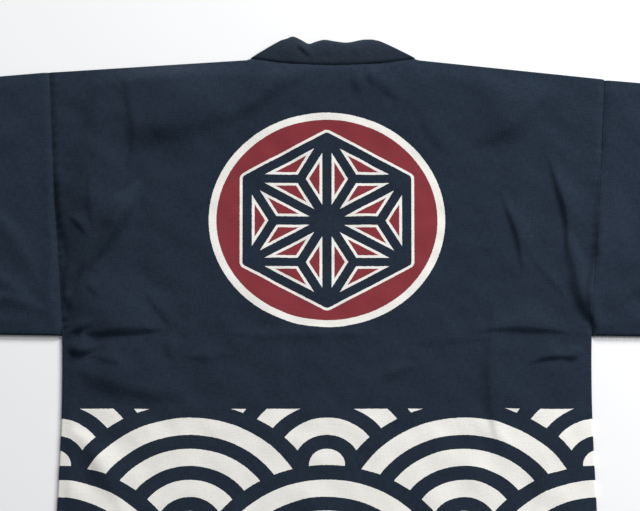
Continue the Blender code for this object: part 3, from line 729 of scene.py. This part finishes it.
def star_distance(tree, off_x, off_down):
    """Distance to the nearest line of a hemp-leaf star, which is worked out in one twelfth of it."""
    radius = add(tree, "VectorMath", add(tree, "CombineXYZ", off_x, off_down), operation="LENGTH")
    angle = add(tree, "Math", off_down, off_x, operation="ARCTAN2")
    turned = add(tree, "Math", angle, pi / 2, operation="ADD")
    folded = add(tree, "Math", turned, pi / 6, operation="PINGPONG")
    run = add(tree, "Math", radius, add(tree, "Math", folded, operation="COSINE"), operation="MULTIPLY")
    rise = add(tree, "Math", radius, add(tree, "Math", folded, operation="SINE"), operation="MULTIPLY")
    spot = add(tree, "CombineXYZ", run, rise)
    centre = Vector((0, 0, 0))
    tip = Vector((STAR_RADIUS, 0, 0))
    heart = Vector((cos(pi / 6), sin(pi / 6), 0)) * (STAR_RADIUS / (2 * cos(pi / 6)))
    side = Vector((cos(pi / 6), sin(pi / 6), 0)) * (STAR_RADIUS * cos(pi / 6))
    nearest = None
    for start, end in ((centre, tip), (centre, heart), (heart, tip), (side, tip)):
        way = end - start
        off = add(tree, "VectorMath", spot, start, operation="SUBTRACT")
        length = add(tree, "VectorMath", off, way / way.length_squared, operation="DOT_PRODUCT")
        share = add(tree, "Clamp", length, 0.0, 1.0)
        distance = add(tree, "VectorMath", off, scaled(tree, way, share), operation="DISTANCE")
        if nearest is None:
            nearest = distance
        else:
            nearest = add(tree, "Math", nearest, distance, operation="MINIMUM")
    return nearest


def cotton(name, dark, light, printed):
    """Plain-woven cotton, yarn-dyed navy and matte. The eye sees a soft cloth with faint threads in
    both directions, some of them thicker, and a slow change of tone where the dye took unevenly.
    The printed cloth carries cream and red pigment that lets the weave through.
    """
    material = bpy.data.materials.new(name)
    material.use_nodes = True
    tree = material.node_tree
    shader = tree.nodes["Principled BSDF"]
    cut = add(tree, "UVMap", uv_map="cut")
    tone = add(tree, "TexNoise", cut, DYE_CLOUDS_PER_METRE, 6.0, 0.68)
    navy = add(tree, "Mix", tone, linear(dark), linear(light), data_type="RGBA")
    threads = []
    for scale in ((THREADS_PER_METRE, STREAKS_PER_METRE, 1.0), (STREAKS_PER_METRE, THREADS_PER_METRE, 1.0)):
        stretched = add(tree, "Mapping", cut, vector_type="POINT")
        stretched.inputs["Scale"].default_value = scale
        threads.append(add(tree, "TexNoise", stretched, 1.0, 2.0, 0.5))
    slubs = add(tree, "Math", threads[0], threads[1], operation="ADD")
    mottle = add(tree, "TexNoise", cut, MOTTLES_PER_METRE, 2.0, 0.6)
    uneven = add(tree, "Math", mottle, 0.5, slubs, operation="MULTIPLY_ADD")
    shade = add(tree, "MapRange", uneven, 0.95, 1.55, 0.76, 1.24)
    through_ink = add(tree, "MapRange", slubs, 0.7, 1.3, 0.955, 1.045)
    navy = scaled(tree, navy, shade)
    colour = navy
    if printed:
        wobble = add(tree, "TexNoise", cut, INK_WOBBLES_PER_METRE, 2.0, 0.5)
        bleed = add(tree, "VectorMath", wobble.outputs["Color"], (0.5, 0.5, 0.5), operation="SUBTRACT")
        bleed = scaled(tree, bleed, INK_WOBBLE)
        spot = add(tree, "SeparateXYZ", add(tree, "VectorMath", cut, bleed, operation="ADD"))
        x, down = spot.outputs["X"], spot.outputs["Y"]
        cream, red = (scaled(tree, linear(ink)[:3], through_ink) for ink in (CREAM, RED))
        colour = add(tree, "Mix", wave_print(tree, x, down), colour, cream, data_type="RGBA")
        off_down = add(tree, "Math", down, DISC_DOWN, operation="SUBTRACT")
        from_centre = add(tree, "VectorMath", add(tree, "CombineXYZ", x, off_down), operation="LENGTH")
        star = star_distance(tree, x, off_down)
        for measured, reach, paint in (
            (from_centre, DISC_RADIUS, cream),
            (from_centre, DISC_RADIUS - DISC_RIM, red),
            (star, STAR_LINE / 2 + STAR_OUTLINE, cream),
        ):
            on = add(tree, "Math", measured, reach, operation="LESS_THAN")
            colour = add(tree, "Mix", on, colour, paint, data_type="RGBA")
        on = add(tree, "Math", star, STAR_LINE / 2, operation="LESS_THAN")
        colour = add(tree, "Mix", on, colour, navy, data_type="RGBA")
    tree.links.new(colour.outputs[2] if printed else colour.outputs[0], shader.inputs["Base Color"])
    relief = add(tree, "Bump")
    relief.inputs["Strength"].default_value = 0.5
    relief.inputs["Distance"].default_value = WEAVE_RELIEF
    tree.links.new(slubs.outputs[0], relief.inputs["Height"])
    tree.links.new(relief.outputs[0], shader.inputs["Normal"])
    shader.inputs["Roughness"].default_value = 0.92
    shader.inputs["Specular IOR Level"].default_value = 0.10
    shader.inputs["Sheen Weight"].default_value = 0.03
    shader.inputs["Sheen Roughness"].default_value = 0.5
    return material


def thread_finish():
    """Navy cotton sewing thread: its twist shows as fine light and dark bands."""
    material = bpy.data.materials.new("navy sewing thread")
    material.use_nodes = True
    tree = material.node_tree
    shader = tree.nodes["Principled BSDF"]
    place_on = add(tree, "TexCoord").outputs["Object"]
    twist = add(tree, "TexNoise", place_on, TWISTS_PER_METRE, 2.0, 0.5)
    colour = add(tree, "Mix", twist, linear("1d2939"), linear("33415a"), data_type="RGBA")
    tree.links.new(colour.outputs[2], shader.inputs["Base Color"])
    relief = add(tree, "Bump")
    relief.inputs["Strength"].default_value = 0.4
    relief.inputs["Distance"].default_value = 0.0001
    tree.links.new(twist.outputs[0], relief.inputs["Height"])
    tree.links.new(relief.outputs[0], shader.inputs["Normal"])
    shader.inputs["Roughness"].default_value = 0.7
    shader.inputs["Sheen Weight"].default_value = 0.05
    return material


def stitching_nodes():
    """Geometry nodes that set a row of stitches along a line of edges."""
    tree = bpy.data.node_groups.new("running stitches", "GeometryNodeTree")
    for name, kind in (
        ("Line", "Geometry"),
        ("Pitch", "Float"),
        ("Length", "Float"),
        ("Thickness", "Float"),
        ("Seed", "Int"),
        ("Thread", "Material"),
    ):
        tree.interface.new_socket(name, in_out="INPUT", socket_type="NodeSocket" + kind)
    tree.interface.new_socket("Stitches", in_out="OUTPUT", socket_type="NodeSocketGeometry")
    given = tree.nodes.new("NodeGroupInput").outputs
    result = tree.nodes.new("NodeGroupOutput").inputs

    def step(kind, links, **settings):
        made = tree.nodes.new(kind)
        for name, value in settings.items():
            setattr(made, name, value)
        for socket, value in links.items():
            if isinstance(value, bpy.types.NodeSocket):
                tree.links.new(value, made.inputs[socket])
            else:
                made.inputs[socket].default_value = value
        return made

    line = step("GeometryNodeMeshToCurve", {"Mesh": given["Line"]})
    spots = step("GeometryNodeResampleCurve", {
        "Curve": line.outputs[0], "Length": given["Pitch"],
    }, mode="LENGTH")
    way = step("GeometryNodeInputTangent", {})
    turn = step("FunctionNodeAlignRotationToVector", {"Vector": way.outputs[0]}, axis="X")
    shape = step("GeometryNodeMeshUVSphere", {"Segments": 8, "Rings": 5, "Radius": 0.5})
    size = step("ShaderNodeCombineXYZ", {
        "X": given["Length"], "Y": given["Thickness"], "Z": given["Thickness"],
    })
    stitch = step("GeometryNodeTransform", {"Geometry": shape.outputs[0], "Scale": size.outputs[0]})
    uneven = step("FunctionNodeRandomValue", {
        "Min": (0.88, 0.90, 0.80), "Max": (1.06, 1.10, 1.15), "Seed": given["Seed"],
    }, data_type="FLOAT_VECTOR")
    rows = step("GeometryNodeInstanceOnPoints", {
        "Points": spots.outputs[0], "Instance": stitch.outputs[0],
        "Rotation": turn.outputs[0], "Scale": uneven.outputs[0],
    })
    whole = step("GeometryNodeRealizeInstances", {"Geometry": rows.outputs[0]})
    round_faces = step("GeometryNodeSetShadeSmooth", {"Geometry": whole.outputs[0]})
    dressed = step("GeometryNodeSetMaterial", {
        "Geometry": round_faces.outputs[0], "Material": given["Thread"],
    })
    tree.links.new(dressed.outputs[0], result[0])
    return tree


def stitch_row(name, lines, tree, thread):
    """Stitches along lines of points, as a plain mesh."""
    mesh = bpy.data.meshes.new(name)
    points, edges = [], []
    for line in lines:
        edges += [(len(points) + k, len(points) + k + 1) for k in range(len(line) - 1)]
        points += line.tolist()
    mesh.from_pydata(points, edges, [])
    row = bpy.data.objects.new(name, mesh)
    bpy.context.scene.collection.objects.link(row)
    nodes = row.modifiers.new("Stitches", "NODES")
    nodes.node_group = tree
    values = {"Pitch": STITCH_PITCH, "Length": STITCH_LENGTH, "Thickness": STITCH_THICKNESS,
              "Seed": len(name), "Thread": thread}
    for socket in tree.interface.items_tree:
        if socket.in_out == "INPUT" and socket.name in values:
            nodes[socket.identifier] = values[socket.name]
    bpy.context.view_layer.update()
    made = bpy.data.meshes.new_from_object(row.evaluated_get(bpy.context.evaluated_depsgraph_get()))
    row.modifiers.clear()
    row.data = made
    return row


def make_stitches():
    """Stitches along the hem of the back and of both fronts, and round both cuffs."""
    tree, thread = stitching_nodes(), thread_finish()
    reach = half_width(0.0) - STITCH_MARGIN
    down = BODY_LENGTH - STITCH_INSET
    columns = np.linspace(-reach, reach, 320)
    hem = back_face(columns, np.full(columns.shape, down))
    rows = {"back": stitch_row("back_hem_stitches", [place(*hem)], tree, thread)}
    for word, side in (("left", -1), ("right", 1)):
        inner = band_seam(down, side) + side * STITCH_MARGIN
        x = np.linspace(inner, side * (half_width(down) - STITCH_MARGIN), 60)
        under = place(x, down, STITCH_REST)
        rows[f"front_{word}"] = stitch_row(f"front_{word}_hem_stitches", [under], tree, thread)
        ring = sleeve_ring(side, 1 - STITCH_INSET / SLEEVE_LENGTH)
        upper = place(*ring[ring[:, 2] >= LAYER_TOP].T)
        under = place(*(ring[ring[:, 2] == 0] + (0.0, 0.0, STITCH_REST)).T)
        rows[f"sleeve_{word}"] = stitch_row(f"cuff_{word}_stitches", [upper, under], tree, thread)
    return rows


def make_stage():
    """A plain pale floor, soft light from beyond the collar and from the right, and the camera."""
    mesh = bpy.data.meshes.new("floor")
    corners = [(x * FLOOR_HALF, y * FLOOR_HALF, 0) for x, y in ((-1, -1), (1, -1), (1, 1), (-1, 1))]
    mesh.from_pydata(corners, [], [(0, 1, 2, 3)])
    floor = bpy.data.objects.new("floor", mesh)
    bpy.context.scene.collection.objects.link(floor)
    floor.location.z = FLOOR_HEIGHT
    paper = bpy.data.materials.new("floor paper")
    paper.use_nodes = True
    shader = paper.node_tree.nodes["Principled BSDF"]
    shader.inputs["Base Color"].default_value = (0.95, 0.95, 0.95, 1.0)
    shader.inputs["Roughness"].default_value = 0.9
    mesh.materials.append(paper)

    world = bpy.data.worlds.new("pale room")
    world.use_nodes = True
    sky = world.node_tree.nodes["Background"]
    sky.inputs["Color"].default_value = (0.93, 0.95, 1.0, 1.0)
    sky.inputs["Strength"].default_value = ROOM_LIGHT
    bpy.context.scene.world = world
    bpy.context.scene.view_settings.view_transform = "Standard"

    for softbox in SOFTBOXES:
        light = bpy.data.lights.new(softbox.name, "AREA")
        light.shape = "RECTANGLE"
        light.size, light.size_y = softbox.size
        light.energy = softbox.power
        lamp = bpy.data.objects.new(softbox.name, light)
        lamp.location = softbox.place
        lamp.rotation_euler = (LIGHT_AIM - lamp.location).to_track_quat("-Z", "Y").to_euler()
        bpy.context.scene.collection.objects.link(lamp)

    lens = bpy.data.cameras.new("camera")
    lens.lens = LENS
    lens.sensor_width = SENSOR
    lens.clip_end = 200.0
    camera = bpy.data.objects.new("camera", lens)
    back = Vector((0.0, -cos(VIEW_ELEVATION), sin(VIEW_ELEVATION)))
    camera.location = VIEW_CENTRE + back * (PHOTO_WIDTH * PIXEL * LENS / SENSOR)
    camera.rotation_euler = (-back).to_track_quat("-Z", "Y").to_euler()
    bpy.context.scene.collection.objects.link(camera)
    bpy.context.scene.camera = camera


def main():
    make_stage()
    body_cotton = cotton("printed navy cotton", "1a2533", "222d3a", True)
    sleeve_cotton = cotton("plain navy cotton", "1b2634", "232e3c", False)
    collar_cotton = cotton("collar navy cotton", "212a36", "28323e", False)
    back_cut = (2 * half_width(0.0), BODY_LENGTH)
    made = [
        (make_back(body_cotton), "back", "printed_cotton", back_cut),
        (make_collar(collar_cotton), "collar", "collar_cotton", COLLAR_CUT),
    ]
    for word, side in (("left", -1), ("right", 1)):
        front = make_front(word, side, body_cotton)
        made.append((front, f"front_{word}", "printed_cotton", (FRONT_CUT_WIDE, BODY_LENGTH)))
        sleeve = make_sleeve(word, side, sleeve_cotton)
        made.append((sleeve, f"sleeve_{word}", "printed_cotton", (SLEEVE_CUT_ROUND, SLEEVE_LENGTH)))
    stitches = make_stitches()
    for row in stitches.values():
        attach(row, "root")
    for piece, node, slot, flat in made:
        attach(piece, "root")
        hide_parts(node)


main()
